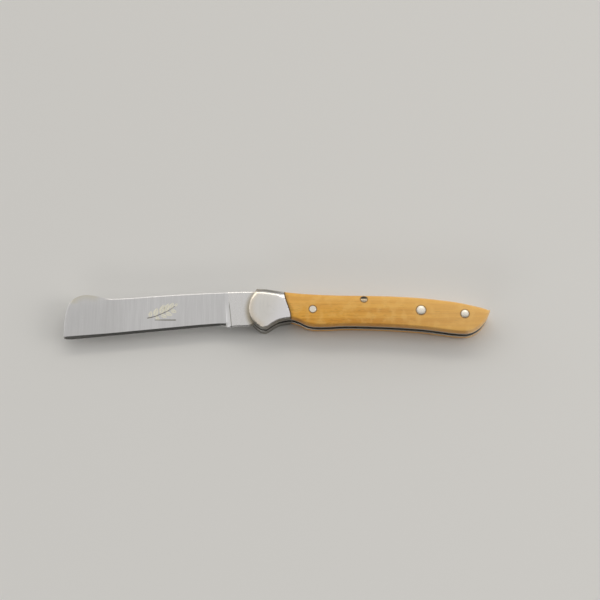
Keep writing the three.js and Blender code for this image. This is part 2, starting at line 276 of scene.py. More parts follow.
def evenly(line, step):
    """The same line as equal steps of about that length, ends kept."""
    line = np.array(line, float)
    lengths = np.hypot(*np.diff(line, axis=0).T)
    along = np.concatenate([[0], np.cumsum(lengths)])
    count = max(1, round(along[-1] / step))
    places = np.linspace(0, along[-1], count + 1)
    return np.column_stack([np.interp(places, along, line[:, k]) for k in (0, 1)])


def crossing(first, second):
    """Where two lines cross, with the number of the first line's step that does."""
    for i in range(len(first) - 1):
        p, r = first[i], first[i + 1] - first[i]
        for j in range(len(second) - 1):
            q, s = second[j], second[j + 1] - second[j]
            turn = r[0] * s[1] - r[1] * s[0]
            if abs(turn) < 1e-12:
                continue
            t = ((q - p)[0] * s[1] - (q - p)[1] * s[0]) / turn
            u = ((q - p)[0] * r[1] - (q - p)[1] * r[0]) / turn
            if 0 <= t <= 1 and 0 <= u <= 1:
                return p + t * r, i
    raise ValueError("the lines do not cross")


def distance_to(points, line):
    """Each point's distance to a line made of straight steps."""
    starts, ends = line[:-1], line[1:]
    step = ends - starts
    length2 = np.maximum((step**2).sum(1), 1e-18)
    best = np.full(len(points), np.inf)
    for start, run, l2 in zip(starts, step, length2):
        t = np.clip(((points - start) @ run) / l2, 0, 1)
        nearest = start + t[:, None] * run
        best = np.minimum(best, np.hypot(*(points - nearest).T))
    return best


def inside(points, loop):
    """Which points lie inside a closed loop."""
    x, y = points[:, 0], points[:, 1]
    result = np.zeros(len(points), bool)
    for (x0, y0), (x1, y1) in zip(loop, np.roll(loop, -1, axis=0)):
        crosses = (y0 > y) != (y1 > y)
        if y1 != y0:
            result ^= crosses & (x < (x1 - x0) * (y - y0) / (y1 - y0) + x0)
    return result


# ------------------------ plates with shaped faces

# A row's points stay this share of the row's offset away from every other edge
ROW_CLEAR = 0.985
# The grid's rows are this share of its spacing apart, and it stays this share clear of the roundings
GRID_RISE = 0.866
GRID_CLEAR = 0.45
# The least distances in mm from a free point to a crease, and between two free points
CREASE_CLEAR = 0.03
LEAST_STEP = 0.02
SMOOTH_BELOW = 25.0

class Edge:
    """One stretch of a plate's outline, with the rounding of the face's edge along it.

    reach is how far the rounding goes in from the outline, depth how far it drops at the outline.
    A chamfer is straight across, and a rounding is a quarter of an ellipse in a few rows.
    """

    def __init__(self, line, reach, depth, rows=3, chamfer=False):
        self.line = np.array(line, float)
        self.reach = reach
        self.depth = depth
        self.rows = rows
        self.chamfer = chamfer

    def offsets(self):
        if not self.reach:
            return []
        if self.chamfer:
            return [self.reach]
        angles = np.linspace(0, math.pi / 2, self.rows + 1)[1:]
        return [self.reach * (1 - math.cos(a)) for a in angles]

    def drop(self, points):
        if not self.reach:
            return np.zeros(len(points))
        share = np.clip(1 - distance_to(points, self.line) / self.reach, 0, 1)
        if self.chamfer:
            return self.depth * share
        return self.depth * (1 - np.sqrt(np.maximum(0, 1 - share**2)))


def loop_of(edges):
    return np.concatenate([edge.line[:-1] for edge in edges])


def hole_edge(centre, radius, reach=0.05, depth=0.05, steps=48):
    return Edge(arc(centre, radius, 0, 2 * math.pi, steps), reach, depth, chamfer=True)


def rows_inside(edges, loop, holes):
    """Points in rows along each edge, at the distances where its rounding needs them."""
    all_lines = [edge.line for edge in edges + holes]
    kept = []
    for edge in edges + holes:
        line = edge.line
        middle = (line[:-1] + line[1:]) / 2
        run = line[1:] - line[:-1]
        normal = np.column_stack([-run[:, 1], run[:, 0]]) / np.hypot(*run.T)[:, None]
        for offset in edge.offsets():
            for side in (1, -1):
                row = middle + side * normal * offset
                row = row[inside(row, loop)]
                for hole in holes:
                    row = row[~inside(row, hole.line[:-1])]
                nearest = np.min([distance_to(row, other) for other in all_lines], axis=0)
                kept.append(row[nearest > offset * ROW_CLEAR])
    return np.concatenate(kept) if kept else np.zeros((0, 2))


def grid_inside(loop, holes, edges, spacing):
    low, high = loop.min(0), loop.max(0)
    across = np.arange(low[0], high[0], spacing)
    up = np.arange(low[1], high[1], spacing * GRID_RISE)
    points = np.array([(x + spacing / 2 * (j % 2), y) for j, y in enumerate(up) for x in across])
    points = points[inside(points, loop)]
    for hole in holes:
        points = points[~inside(points, hole.line[:-1])]
    clear = np.min([distance_to(points, e.line) - e.reach for e in edges + holes], axis=0)
    return points[clear > spacing * GRID_CLEAR]


def thin_out(points, least):
    """The points less any that lies nearer than least to one kept before it."""
    kept, cells = [], {}
    for p in points:
        cell = (math.floor(p[0] / least), math.floor(p[1] / least))
        near = [q for i in (-1, 0, 1) for j in (-1, 0, 1)
                for q in cells.get((cell[0] + i, cell[1] + j), [])]
        if all((p[0] - q[0]) ** 2 + (p[1] - q[1]) ** 2 >= least**2 for q in near):
            kept.append(p)
            cells.setdefault(cell, []).append(p)
    return np.array(kept).reshape(-1, 2)


def fixed_lines(loops, creases):
    """The points of all the lines, and the pairs of them that the mesh must join."""
    points, pairs = [], []
    for ring in loops:
        first, count = len(points), len(ring)
        points.extend(map(tuple, ring))
        pairs += [(first + k, first + (k + 1) % count) for k in range(count)]
    for crease in creases:
        first = len(points)
        points.extend(map(tuple, crease))
        pairs += [(first + k, first + k + 1) for k in range(len(crease) - 1)]
    return points, pairs


def free_points(edges, loop, holes, creases, spacing):
    """The points that the roundings and the grid put between the fixed lines."""
    free = rows_inside(edges, loop, holes)
    if spacing:
        free = np.concatenate([free, grid_inside(loop, holes, edges, spacing)])
    if creases:
        free = free[np.min([distance_to(free, c) for c in creases], axis=0) > CREASE_CLEAR]
    return thin_out(free, LEAST_STEP)


def filled(edges, holes, creases, spacing):
    """The outline filled with triangles: the places of their corners, and each one's corners."""
    loop = loop_of(edges)
    fixed, pairs = fixed_lines([loop] + [hole.line[:-1] for hole in holes], creases)
    flat = [Vector(p) for p in fixed]
    flat += [Vector(p) for p in free_points(edges, loop, holes, creases, spacing)]
    verts, _, faces, _, _, _ = delaunay_2d_cdt(flat, pairs, [], 0, 1e-7)
    plan = np.array([tuple(v) for v in verts])
    centres = np.array([plan[list(f)].mean(0) for f in faces])
    keep = inside(centres, loop)
    for hole in holes:
        keep &= ~inside(centres, hole.line[:-1])
    faces = [list(f) for f, k in zip(faces, keep) if k]
    return plan, [f if turn_of(plan, f) > 0 else f[::-1] for f in faces]


def plate_mesh(name, edges, top, bottom, holes=(), creases=(), spacing=None, sharp=SMOOTH_BELOW):
    """A closed mesh over an outline: top and bottom give the heights of the two faces at points.

    creases are lines on the faces that the mesh must follow, and spacing adds a grid of points
    between them, for a face that curves.
    """
    plan, faces = filled(edges, list(holes), creases, spacing)
    count = len(plan)
    points = [(x, y, z) for face in (top, bottom) for (x, y), z in zip(plan, face(plan))]
    used = {(a, b) for f in faces for a, b in zip(f, f[1:] + f[:1])}
    walls = [[b, a, a + count, b + count] for a, b in used if (b, a) not in used]
    polygons = faces + [[i + count for i in reversed(f)] for f in faces] + walls
    return mesh_object(name, np.array(points), polygons, sharp)


def turn_of(plan, face):
    """Twice the triangle's area, below zero where its corners go clockwise."""
    (x0, y0), (x1, y1), (x2, y2) = plan[face[0]], plan[face[1]], plan[face[2]]
    return (x1 - x0) * (y2 - y0) - (x2 - x0) * (y1 - y0)


def mesh_object(name, points, polygons, sharp=SMOOTH_BELOW):
    """A new object from points in mm, smooth except where faces meet at more than sharp degrees."""
    mesh = bpy.data.meshes.new(name)
    mesh.from_pydata([tuple(p) for p in points * MM], [], polygons)
    work = bmesh.new()
    work.from_mesh(mesh)
    loose = [v for v in work.verts if not v.link_faces]
    bmesh.ops.delete(work, geom=loose, context="VERTS")
    bmesh.ops.recalc_face_normals(work, faces=work.faces)
    work.to_mesh(mesh)
    work.free()
    mesh.shade_smooth()
    mesh.set_sharp_from_angle(angle=math.radians(sharp))
    obj = bpy.data.objects.new(name, mesh)
    bpy.context.scene.collection.objects.link(obj)
    return obj


def lathe_mesh(name, centre, profile, segments=64):
    """A turned piece about an upright axis. The profile runs from the axis round to the axis."""
    angles = np.linspace(0, 2 * math.pi, segments, endpoint=False)
    points, rings = [], []
    for radius, height in profile:
        if radius < 1e-9:
            rings.append([len(points)] * segments)
            points.append((centre[0], centre[1], height))
        else:
            rings.append(list(range(len(points), len(points) + segments)))
            points += [(centre[0] + radius * math.cos(a), centre[1] + radius * math.sin(a), height)
                       for a in angles]
    polygons = []
    for lower, upper in zip(rings, rings[1:]):
        for k in range(segments):
            nxt = (k + 1) % segments
            face = [lower[k], lower[nxt], upper[nxt], upper[k]]
            polygons.append([i for n, i in enumerate(face) if i not in face[:n]])
    return mesh_object(name, np.array(points), polygons)


def mirrored(heights):
    """The same face on the other side of the knife's middle plane."""
    return lambda plan: THICKNESS - heights(plan)


def level(height):
    return lambda plan: np.full(len(plan), height)


# ------------------------ materials

class Material:
    """A node material on a Principled shader, in object coordinates measured in mm."""

    def __init__(self, name, metallic, roughness, specular=0.5):
        self.material = bpy.data.materials.new(name)
        self.material.use_nodes = True
        self.tree = self.material.node_tree
        self.shader = self.tree.nodes["Principled BSDF"]
        self.shader.inputs["Metallic"].default_value = metallic
        self.shader.inputs["Roughness"].default_value = roughness
        self.shader.inputs["Specular IOR Level"].default_value = specular
        self.bump_result = None
        place = self.node("ShaderNodeTexCoord")
        self.place = self.vector_math("SCALE", place.outputs["Object"], scale=1 / MM)
        self.flat = self.vector_math("MULTIPLY", self.place, (1, 1, 0))

    def node(self, kind, **settings):
        made = self.tree.nodes.new(kind)
        for key, value in settings.items():
            setattr(made, key, value)
        return made

    def feed(self, socket, value):
        if isinstance(value, bpy.types.NodeSocket):
            self.tree.links.new(value, socket)
        else:
            socket.default_value = value

    def vector_math(self, operation, first, second=None, scale=None):
        made = self.node("ShaderNodeVectorMath", operation=operation)
        self.feed(made.inputs[0], first)
        if second is not None:
            self.feed(made.inputs[1], second)
        if scale is not None:
            made.inputs["Scale"].default_value = scale
        return made.outputs["Value" if operation in ("DISTANCE", "DOT_PRODUCT") else "Vector"]

    def math(self, operation, first, second=0.0):
        made = self.node("ShaderNodeMath", operation=operation)
        self.feed(made.inputs[0], first)
        self.feed(made.inputs[1], second)
        return made.outputs[0]

    def noise(self, sizes, detail=2.0, shift=0.0):
        """Noise whose features are about sizes mm long along X, Y and Z."""
        stretched = self.vector_math("MULTIPLY", self.place, tuple(1 / s for s in sizes))
        moved = self.vector_math("ADD", stretched, (shift, shift * 1.7, shift * 0.6))
        made = self.node("ShaderNodeTexNoise")
        made.inputs["Scale"].default_value = 1.0
        made.inputs["Detail"].default_value = detail
        self.feed(made.inputs["Vector"], moved)
        return made.outputs["Fac"]

    def spread(self, value, low, high, to_low=0.0, to_high=1.0):
        made = self.node("ShaderNodeMapRange", interpolation_type="SMOOTHSTEP")
        self.feed(made.inputs["Value"], value)
        made.inputs["From Min"].default_value = low
        made.inputs["From Max"].default_value = high
        made.inputs["To Min"].default_value = to_low
        made.inputs["To Max"].default_value = to_high
        return made.outputs[0]

    def blend(self, share, first, second):
        made = self.node("ShaderNodeMix", data_type="RGBA")
        self.feed(made.inputs[0], share)
        for socket, colour in ((made.inputs[6], first), (made.inputs[7], second)):
            self.feed(socket, colour if isinstance(colour, bpy.types.NodeSocket) else (*colour, 1))
        return made.outputs[2]

    def tinted(self, base, attribute, colour, strength):
        """The base colour with another laid over it as far as the mesh's attribute says."""
        share = self.node("ShaderNodeAttribute", attribute_name=attribute).outputs["Fac"]
        return self.blend(self.math("MULTIPLY", share, strength), base, colour)

    def colour(self, value):
        self.feed(self.shader.inputs["Base Color"], value)

    def roughness(self, value):
        self.feed(self.shader.inputs["Roughness"], value)

    def bump(self, height, depth_mm, strength=1.0):
        made = self.node("ShaderNodeBump")
        made.inputs["Strength"].default_value = strength
        made.inputs["Distance"].default_value = depth_mm * MM
        self.feed(made.inputs["Height"], height)
        if self.bump_result is not None:
            self.feed(made.inputs["Normal"], self.bump_result)
        self.bump_result = made.outputs[0]
        self.feed(self.shader.inputs["Normal"], self.bump_result)


# A stain on the metal, and the reflections and shade painted on it
STAIN = (0.60, 0.53, 0.42)
CREAM_REFLECTION = (0.60, 0.575, 0.49)
DARK_REFLECTION_GREY = (0.33, 0.32, 0.285)
BOLSTER_SHADE_TINT = (0.43, 0.385, 0.30)
BOLSTER_SHADE_CENTRE = (1.6, 1.4)
BOLSTER_SHADE_RADIUS = 10.6
BOLSTER_SHADE_FADES_OVER = 2.6
CORNER_SHADE = (0.16, 0.16, 0.14)

# The wood's own colours and stains, and the light and shade painted on it
RING_DARK = (0.68, 0.29, 0.030)
RING_LIGHT = (0.89, 0.465, 0.075)
AMBER_STREAK = (0.56, 0.215, 0.020)
PALE_PATCH = (0.93, 0.56, 0.15)
FLECK = (0.33, 0.135, 0.024)
PALE_BUTT = (0.92, 0.57, 0.20)
SPINE_PAINTED_LIGHT = (0.98, 0.57, 0.15)
RIM_PAINTED_HIGHLIGHT = (0.96, 0.70, 0.42)
BELLY_PAINTED_SHADE = (0.36, 0.135, 0.024)
JOINT_DIRT_AND_SHADE = (0.045, 0.02, 0.01)
RIVET_STAIN = (0.19, 0.10, 0.045)


def metal(name, bright, dull, roughness, grain, warmth=0.0, bump_mm=0.0006):
    """Ground or brushed metal. grain gives the size in mm of its scratches along X, Y and Z."""
    made = Material(name, 1.0, roughness)
    fine = made.noise(grain, detail=3.0)
    broad = made.noise([size * 5 for size in grain], detail=3.0, shift=11.0)
    cloud = made.noise((9, 7, 7), detail=3.0, shift=5.0)
    streak = made.math("ADD", made.math("MULTIPLY", fine, 0.5), made.math("MULTIPLY", broad, 0.5))
    base = made.blend(made.spread(streak, 0.34, 0.66), dull, bright)
    base = made.blend(made.spread(cloud, 0.35, 0.75, 0.0, warmth), base, STAIN)
    made.roughness(made.spread(streak, 0.3, 0.7, roughness + 0.05, roughness - 0.04))
    made.bump(fine, bump_mm)
    return made, base


def finished(made, base):
    made.colour(base)
    return made.material


def ricasso_steel():
    """The blade's unground root: painted shade as a dark line in its corner, and painted shade and
    reflection of the bolster beside it.
    """
    made, base = metal("ricasso_steel", (0.73, 0.725, 0.725), (0.69, 0.685, 0.685), 0.27, (0.25, 5, 5))
    # Painted shade and reflection of the bolster's front wall, in a ring beside it
    away = made.vector_math("DISTANCE", made.flat, (*BOLSTER_SHADE_CENTRE, 0))
    bolster_shade = made.spread(away, BOLSTER_SHADE_RADIUS, BOLSTER_SHADE_RADIUS + BOLSTER_SHADE_FADES_OVER, 0.95, 0.0)
    base = made.blend(bolster_shade, base, BOLSTER_SHADE_TINT)
    start, end = np.array(PLUNGE_LINE[0]), np.array(PLUNGE_LINE[1])
    run = (end - start) / np.hypot(*(end - start))
    normal = np.array([-run[1], run[0]])
    beside = made.vector_math("DOT_PRODUCT", made.flat, (*normal, 0))
    beside = made.math("ABSOLUTE", made.math("SUBTRACT", beside, float(normal @ start)))
    height = made.vector_math("DOT_PRODUCT", made.flat, (0, 1, 0))
    strength = made.spread(height, 3.2, 6.0, 0.85, 0.0)
    line = made.math("MULTIPLY", made.spread(beside, 0.04, 0.26, 1.0, 0.0), strength)
    return finished(made, made.blend(line, base, CORNER_SHADE))


def boxwood(name, stained_places):
    """Oiled close-grained yellow wood, its grain along X."""
    wood = Material(name, 0.0, 0.45, specular=0.35)
    rings = wood.noise((70, 2.4, 3.4), detail=4.0)
    streaks = wood.noise((11, 0.55, 0.7), detail=3.0, shift=7.0)
    mottle = wood.noise((3.5, 4.5, 5), detail=2.0, shift=3.0)
    dashes = wood.noise((2.6, 0.22, 0.3), detail=1.0, shift=19.0)
    base = wood.blend(wood.spread(rings, 0.33, 0.68), RING_DARK, RING_LIGHT)
    base = wood.blend(wood.spread(streaks, 0.50, 0.78, 0.0, 0.6), base, AMBER_STREAK)
    base = wood.blend(wood.spread(mottle, 0.44, 0.68, 0.0, 0.5), base, PALE_PATCH)
    base = wood.blend(wood.spread(dashes, 0.60, 0.74, 0.0, 0.5), base, FLECK)
    along = wood.vector_math("DOT_PRODUCT", wood.flat, (1, 0, 0))
    base = wood.blend(wood.spread(along, 20, 98, 0.0, 0.62), base, PALE_BUTT)
    upward = wood.vector_math("DOT_PRODUCT", wood.flat, (0, 1, 0))
    # Painted light: the wood is lighter and yellower towards the spine
    base = wood.blend(wood.spread(upward, -2, 6, 0.0, 0.5), base, SPINE_PAINTED_LIGHT)
    # Painted highlight along the spine and butt edges
    base = wood.tinted(base, "painted_rim_highlight", RIM_PAINTED_HIGHLIGHT, 0.35)
    # Painted shade along the belly's rounded edge
    base = wood.tinted(base, "belly", BELLY_PAINTED_SHADE, 0.42)
    # Dirt and painted shade in the joint with the bolster
    base = wood.tinted(base, "joint_dirt_and_shade", JOINT_DIRT_AND_SHADE, 0.9)
    for (x, y), radius in stained_places:
        away = wood.vector_math("DISTANCE", wood.flat, (x, y, 0))
        stain = wood.spread(away, radius + 0.05, radius + 0.70, 0.80, 0.0)
        base = wood.blend(stain, base, RIVET_STAIN)
    wood.colour(base)
    wood.roughness(wood.spread(streaks, 0.3, 0.75, 0.40, 0.54))
    wood.bump(streaks, 0.012, 0.5)
    wood.bump(dashes, 0.015, 0.5)
    return wood.material


def etched(name, low, high):
    """The frosted surface that etching leaves on steel."""
    frost = Material(name, 0.55, 0.6)
    speckle = frost.noise((0.14, 0.14, 0.14), detail=2.0)
    frost.colour(frost.blend(frost.spread(speckle, 0.35, 0.65), low, high))
    frost.bump(speckle, 0.01)
    return frost.material


def brass(name):
    made = Material(name, 1.0, 0.34)
    rub = made.noise((0.4, 0.4, 0.4), detail=3.0)
    made.colour(made.blend(rub, (0.55, 0.38, 0.13), (0.76, 0.57, 0.25)))
    made.bump(rub, 0.004)
    return made.material


# ------------------------ the handle's outlines

STEP = 0.6
BOLSTER_STEP = 0.45
CORNER_STEP = 0.35

spine_line = catmull_rom(SPINE)
spine_line = np.concatenate([spine_line[spine_line[:, 0] < TIP_ROUND_START[0]], [TIP_ROUND_START]])
butt_line = catmull_rom(BUTT)
butt_line = np.concatenate([[TIP_ROUND_END], butt_line[butt_line[:, 1] < TIP_ROUND_END[1]]])[::-1]
tip_line = quadratic([TIP_ROUND_END, BUTT_TIP, TIP_ROUND_START], 8)
belly_line = catmull_rom(BELLY)[::-1]
front_line = catmull_rom(BOLSTER_FRONT)
corner_line = quadratic([BOLSTER_FRONT[-1], CORNER_PEAK, BELLY[-1]], 10)
joint_line = catmull_rom(JOINT, 8)
spine_back = spine_line[::-1]


def between(line, start=None, end=None):
    """The part of a line between two lines that cross it, going the way the line goes."""
    line = np.array(line, float)
    if end is not None:
        point, step = crossing(line, end)
        line = np.concatenate([line[:step + 1], [point]])
    if start is not None:
        point, step = crossing(line, start)
        line = np.concatenate([[point], line[step + 1:]])
    return line


before = joint_line - np.array([JOINT_GAP / 2, 0])
after = joint_line + np.array([JOINT_GAP / 2, 0])

# How far in from the outline each edge's rounding reaches, and how far it drops at the outline
SPINE_ROUND = (2.9, 2.5)
FRONT_ROUND = (1.9, 0.6)
FRONT_FADE = (1.7, 0.5), (0.4, 0.16)
FRONT_FADES_AT = 0.55
LOWER_ROUND = (0.25, 0.15)
BOLSTER_BACK = (0.12, 0.12)
BELLY_ROUND = (0.9, 1.7)
BUTT_ROUND = (1.0, 0.9)
JOINT_ROUND = (0.35, 0.14)
CROWN_REACH = 7.5
CROWN_DEPTH = 0.4


def fading_edges(line, first, last, parts):
    """The line as a row of edges whose rounding goes from the first reach and depth to the last."""
    cuts = np.linspace(0, len(line) - 1, parts + 1).astype(int)
    sizes = np.linspace(first, last, parts)
    return [Edge(line[a:b + 1], reach, depth, rows=6)
            for a, b, (reach, depth) in zip(cuts, cuts[1:], sizes)]


def bolster_edges():
    front = evenly(between(front_line, start=spine_line), BOLSTER_STEP)
    turn = int(len(front) * FRONT_FADES_AT)
    back = between(before[::-1], start=belly_line, end=spine_line)
    spine = between(spine_back, start=before, end=front_line)
    return [
        Edge(front[:turn + 1], *FRONT_ROUND, rows=9),
        *fading_edges(front[turn:], *FRONT_FADE, 6),
        Edge(evenly(corner_line, CORNER_STEP), *LOWER_ROUND, rows=4),
        Edge(evenly(between(belly_line, end=before), BOLSTER_STEP), *LOWER_ROUND, rows=4),
        Edge(evenly(back, STEP), *BOLSTER_BACK, chamfer=True),
        Edge(evenly(spine, STEP), *SPINE_ROUND, rows=11),
    ]


def scale_edges():
    return [
        Edge(evenly(between(belly_line, start=after), STEP), *BELLY_ROUND, rows=9),
        Edge(evenly(butt_line, STEP), *BUTT_ROUND, rows=7),
        Edge(tip_line, *BUTT_ROUND, rows=7),
        Edge(evenly(between(spine_back, end=after), STEP), *SPINE_ROUND, rows=11),
        Edge(evenly(between(after, start=spine_line, end=belly_line), STEP), *JOINT_ROUND, rows=3),
    ]


def outer_face(edges, crowned):
    """Heights of a side's outer face: the rounding of each edge, and a slow crown from some of them."""
    def heights(plan):
        rounding = np.max([edge.drop(plan) for edge in edges], axis=0)
        crown = np.zeros(len(plan))
        for edge in crowned:
            crown += CROWN_DEPTH * np.clip(1 - distance_to(plan, edge.line) / CROWN_REACH, 0, 1) ** 2
        return THICKNESS - rounding - crown

    return heights


def plan_of(obj):
    return np.array([(v.co.x, v.co.y) for v in obj.data.vertices]) / MM


def write_attribute(obj, name, values):
    attribute = obj.data.attributes.new(name, "FLOAT", "POINT")
    attribute.data.foreach_set("value", np.array(values, np.float32))


def smooth_step(values, low, high):
    share = np.clip((np.asarray(values) - low) / (high - low), 0, 1)
    return share * share * (3 - 2 * share)


def finish_piece(obj, body, slot, material, *nodes):
    obj.data.materials.append(material)
    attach(obj, body)
    if nodes:
        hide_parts(*nodes)


def side_plate(name, side, edges, low, outer, holes, **options):
    """A plate of the left side, or its mirror image on the right side. low is its inner face."""
    if side == "left":
        return plate_mesh(name, edges, outer, level(low), holes, **options)
    return plate_mesh(name, edges, level(THICKNESS - low), mirrored(outer), holes, **options)


# ------------------------ bolsters, scales and liners

OUTER_LOW = THICKNESS - SCALE
PIN_GAP = 0.012
HEAD_GAP = 0.05
# Faces whose normals lie flatter than this are the bolsters' upright walls
WALL_NORMAL = 0.1

bolster_rim = bolster_edges()
bolster_top = outer_face(bolster_rim, [bolster_rim[-1]])
scale_rim = scale_edges()
scale_top = outer_face(scale_rim, [scale_rim[0], scale_rim[3]])


def polished_bolster():
    """Warm along the front, with a painted lighter, cooler reflection towards the lower back, and a
    painted dark reflection where it rounds to the spine.
    """
    made, base = metal("bolster_metal", (0.745, 0.725, 0.695), (0.715, 0.70, 0.67), 0.21,
                       (0.35, 4, 4), 0.10)
    base = made.tinted(base, "warm", (0.70, 0.60, 0.47), 0.55)
    # Painted dark reflection: a grey strip where the face rounds over to the spine
    base = made.tinted(base, "painted_dark_reflection", DARK_REFLECTION_GREY, 0.85)
    # Painted reflection: lighter and cooler towards the lower back
    lower_back_sheen = made.vector_math("DOT_PRODUCT", made.flat, (0.9, -0.35, 0))
    return finished(made, made.blend(made.spread(lower_back_sheen, -2, 7), base, (0.80, 0.79, 0.81)))


bolster_metal = polished_bolster()
# Painted shade: a dark metal for the bolsters' upright walls, standing in for the dark they would
# reflect
dark_wall_metal = finished(*metal("painted_dark_wall", (0.33, 0.32, 0.29), (0.20, 0.19, 0.17), 0.38,
                             (2, 2, 0.3), 0.4))


def bolster(side):
    hole = hole_edge(PIVOT, PIVOT_RADIUS + PIN_GAP, 0.02, 0.012, steps=64)
    obj = side_plate(f"{side}_bolster_metal", side, bolster_rim, OUTER_LOW, bolster_top, [hole],
                     spacing=0.9)
    plan = plan_of(obj)
    from_spine = distance_to(plan, bolster_rim[-1].line)
    from_front = distance_to(plan, front_line)
    darker_behind = 0.45 + 0.55 * smooth_step(plan[:, 0], -5.0, -1.0)
    # Painted dark reflection along the spine's rounding, fainter towards the front
    write_attribute(obj, "painted_dark_reflection", (1 - smooth_step(from_spine, 1.2, 1.8)) * darker_behind)
    write_attribute(obj, "warm", 1 - smooth_step(from_front, 0.3, 3.2))
    nodes = [f"{side}_bolster", f"{side}_bolster_rivet_front", f"{side}_bolster_rivet_rear"]
    finish_piece(obj, "handle", "bolster_metal", bolster_metal, *nodes)
    # The upright walls get the painted dark wall metal
    obj.data.materials.append(dark_wall_metal)
    for face in obj.data.polygons:
        face.material_index = 1 if abs(face.normal.z) < WALL_NORMAL else 0


def scale(side, wood):
    holes = [
        hole_edge(SPRING_PIN, SPRING_PIN_RADIUS + HEAD_GAP),
        hole_edge(FRONT_RIVET, FRONT_RIVET_RADIUS + 0.1),
        hole_edge(MIDDLE_RIVET, MIDDLE_HEAD + HEAD_GAP),
        hole_edge(REAR_RIVET, REAR_HEAD + HEAD_GAP),
    ]
    obj = side_plate(f"{side}_wood_scale", side, scale_rim, OUTER_LOW, scale_top, holes, spacing=1.3)
    plan = plan_of(obj)
    # Painted shade along the belly's rounded edge
    write_attribute(obj, "belly", 1 - smooth_step(distance_to(plan, scale_rim[0].line), 0.0, 0.9))
    # Dirt and painted shade along the joint with the bolster
    write_attribute(obj, "joint_dirt_and_shade", 1 - smooth_step(distance_to(plan, scale_rim[4].line), 0.05, 0.6))
    # Painted highlight along the spine, butt and tip edges, growing towards the butt
    from_edge = np.min([distance_to(plan, edge.line) for edge in scale_rim[1:4]], axis=0)
    painted_rim_highlight = (1 - smooth_step(from_edge, 0.3, 1.1)) * smooth_step(plan[:, 0], 30, 70)
    write_attribute(obj, "painted_rim_highlight", painted_rim_highlight)
    finish_piece(obj, "handle", "boxwood", wood, f"{side}_scale")


def thin_rim(lines, chamfer):
    return [Edge(line, chamfer, chamfer, chamfer=True) for line in lines]


def chamfered_face(height, rim):
    return lambda plan: height - np.max([edge.drop(plan) for edge in rim], axis=0)


def pin_holes(*pins):
    return [hole_edge(place, radius + PIN_GAP, 0.02, 0.02) for place, radius in pins]


inner_steel = finished(*metal("inner_steel", (0.50, 0.49, 0.47), (0.40, 0.39, 0.375), 0.34,
                              (5, 0.1, 0.1), 0.3))


def liner(side):
    lines = [
        evenly(between(front_line, start=spine_line), BOLSTER_STEP),
        evenly(corner_line, CORNER_STEP),
        evenly(belly_line, STEP),
        evenly(butt_line, STEP),
        tip_line,
        evenly(between(spine_back, end=front_line), STEP),
    ]
    rim = thin_rim(lines, 0.08)
    holes = pin_holes((PIVOT, PIVOT_RADIUS), (FRONT_RIVET, FRONT_RIVET_RADIUS), *SPRING_PINS)
    slot_face = MIDDLE + SLOT / 2
    outer = level(slot_face + LINER)
    inner = chamfered_face(THICKNESS - slot_face, rim)
    if side == "left":
        obj = plate_mesh(f"{side}_steel_liner", rim, outer, mirrored(inner), holes)
    else:
        obj = plate_mesh(f"{side}_steel_liner", rim, inner, mirrored(outer), holes)
    finish_piece(obj, "handle", "liner_steel", inner_steel, f"{side}_liner")


def spring():
    along = (spine_line[:, 0] > SPRING_FRONT[0][0]) & (spine_line[:, 0] < SPRING_TOP_END_X)
    top = spine_line[along] - np.array([0, SPRING_SINK])
    underside = catmull_rom(SPRING_UNDERSIDE)[::-1]
    lines = [
        np.array([SPRING_FRONT[1], SPRING_FRONT[0]], float),
        np.array([SPRING_FRONT[0], tuple(underside[0])]),
        underside,
        np.array([tuple(underside[-1]), SPRING_END]),
        np.concatenate([[SPRING_END], top[::-1], [SPRING_FRONT[1]]]),
    ]
    rim = thin_rim([evenly(line, 0.8) for line in lines], 0.1)
    holes = pin_holes(*SPRING_PINS)
    face = chamfered_face(MIDDLE + SLOT / 2, rim)
    obj = plate_mesh("steel_backspring", rim, face, mirrored(face), holes)
    finish_piece(obj, "handle", "spring_steel", inner_steel, "backspring")


# ------------------------ pins and rivets

def bright_pin():
    """Bright steel, browned by wear and by painted shade at the domes' rims, and nearly black where a
    dark reflection is painted.
    """
    made, base = metal("pin_steel", (0.96, 0.91, 0.81), (0.91, 0.86, 0.76), 0.27, (0.5, 0.5, 0.5), 0.05)
    # Brown from wear on the flush pins, and painted shade round the domes' rims
    base = made.tinted(base, "wear_and_rim_shade", (0.33, 0.25, 0.155), 0.9)
    return finished(made, made.tinted(base, "painted_dark_reflection", (0.07, 0.07, 0.055), 0.9))


pin_steel = bright_pin()


def turned_both_ends(name, centre, end_profile):
    """A pin through the knife. end_profile runs from its side to its middle, at the left face."""
    lower = [(radius, THICKNESS - height) for radius, height in reversed(end_profile)]
    return lathe_mesh(name, centre, lower + list(end_profile))


def domed_rivet(name, centre, head, node):
    foot = THICKNESS - 0.02
    dome = [(head, foot), (head * 0.99, foot + HEAD_RIM * 0.7)]
    for share in (0.97, 0.92, 0.84, 0.74, 0.6, 0.42, 0.2, 0.0):
        dome.append((head * share, foot + HEAD_RIM + HEAD_DOME * (1 - share**2)))
    collar = [(RIVET_SHANK, THICKNESS - HEAD_SUNK - 0.2), (head, THICKNESS - HEAD_SUNK)]
    obj = turned_both_ends(name, centre, collar + dome)
    from_middle = np.hypot(*(plan_of(obj) - np.array(centre)).T) / head
    # Painted shade and reflection browning the dome's rim
    write_attribute(obj, "wear_and_rim_shade", 0.55 * smooth_step(from_middle, 0.6, 1.0))
    finish_piece(obj, "handle", "pin_steel", pin_steel, node)


def write_even(obj, name, value):
    write_attribute(obj, name, np.full(len(obj.data.vertices), value))


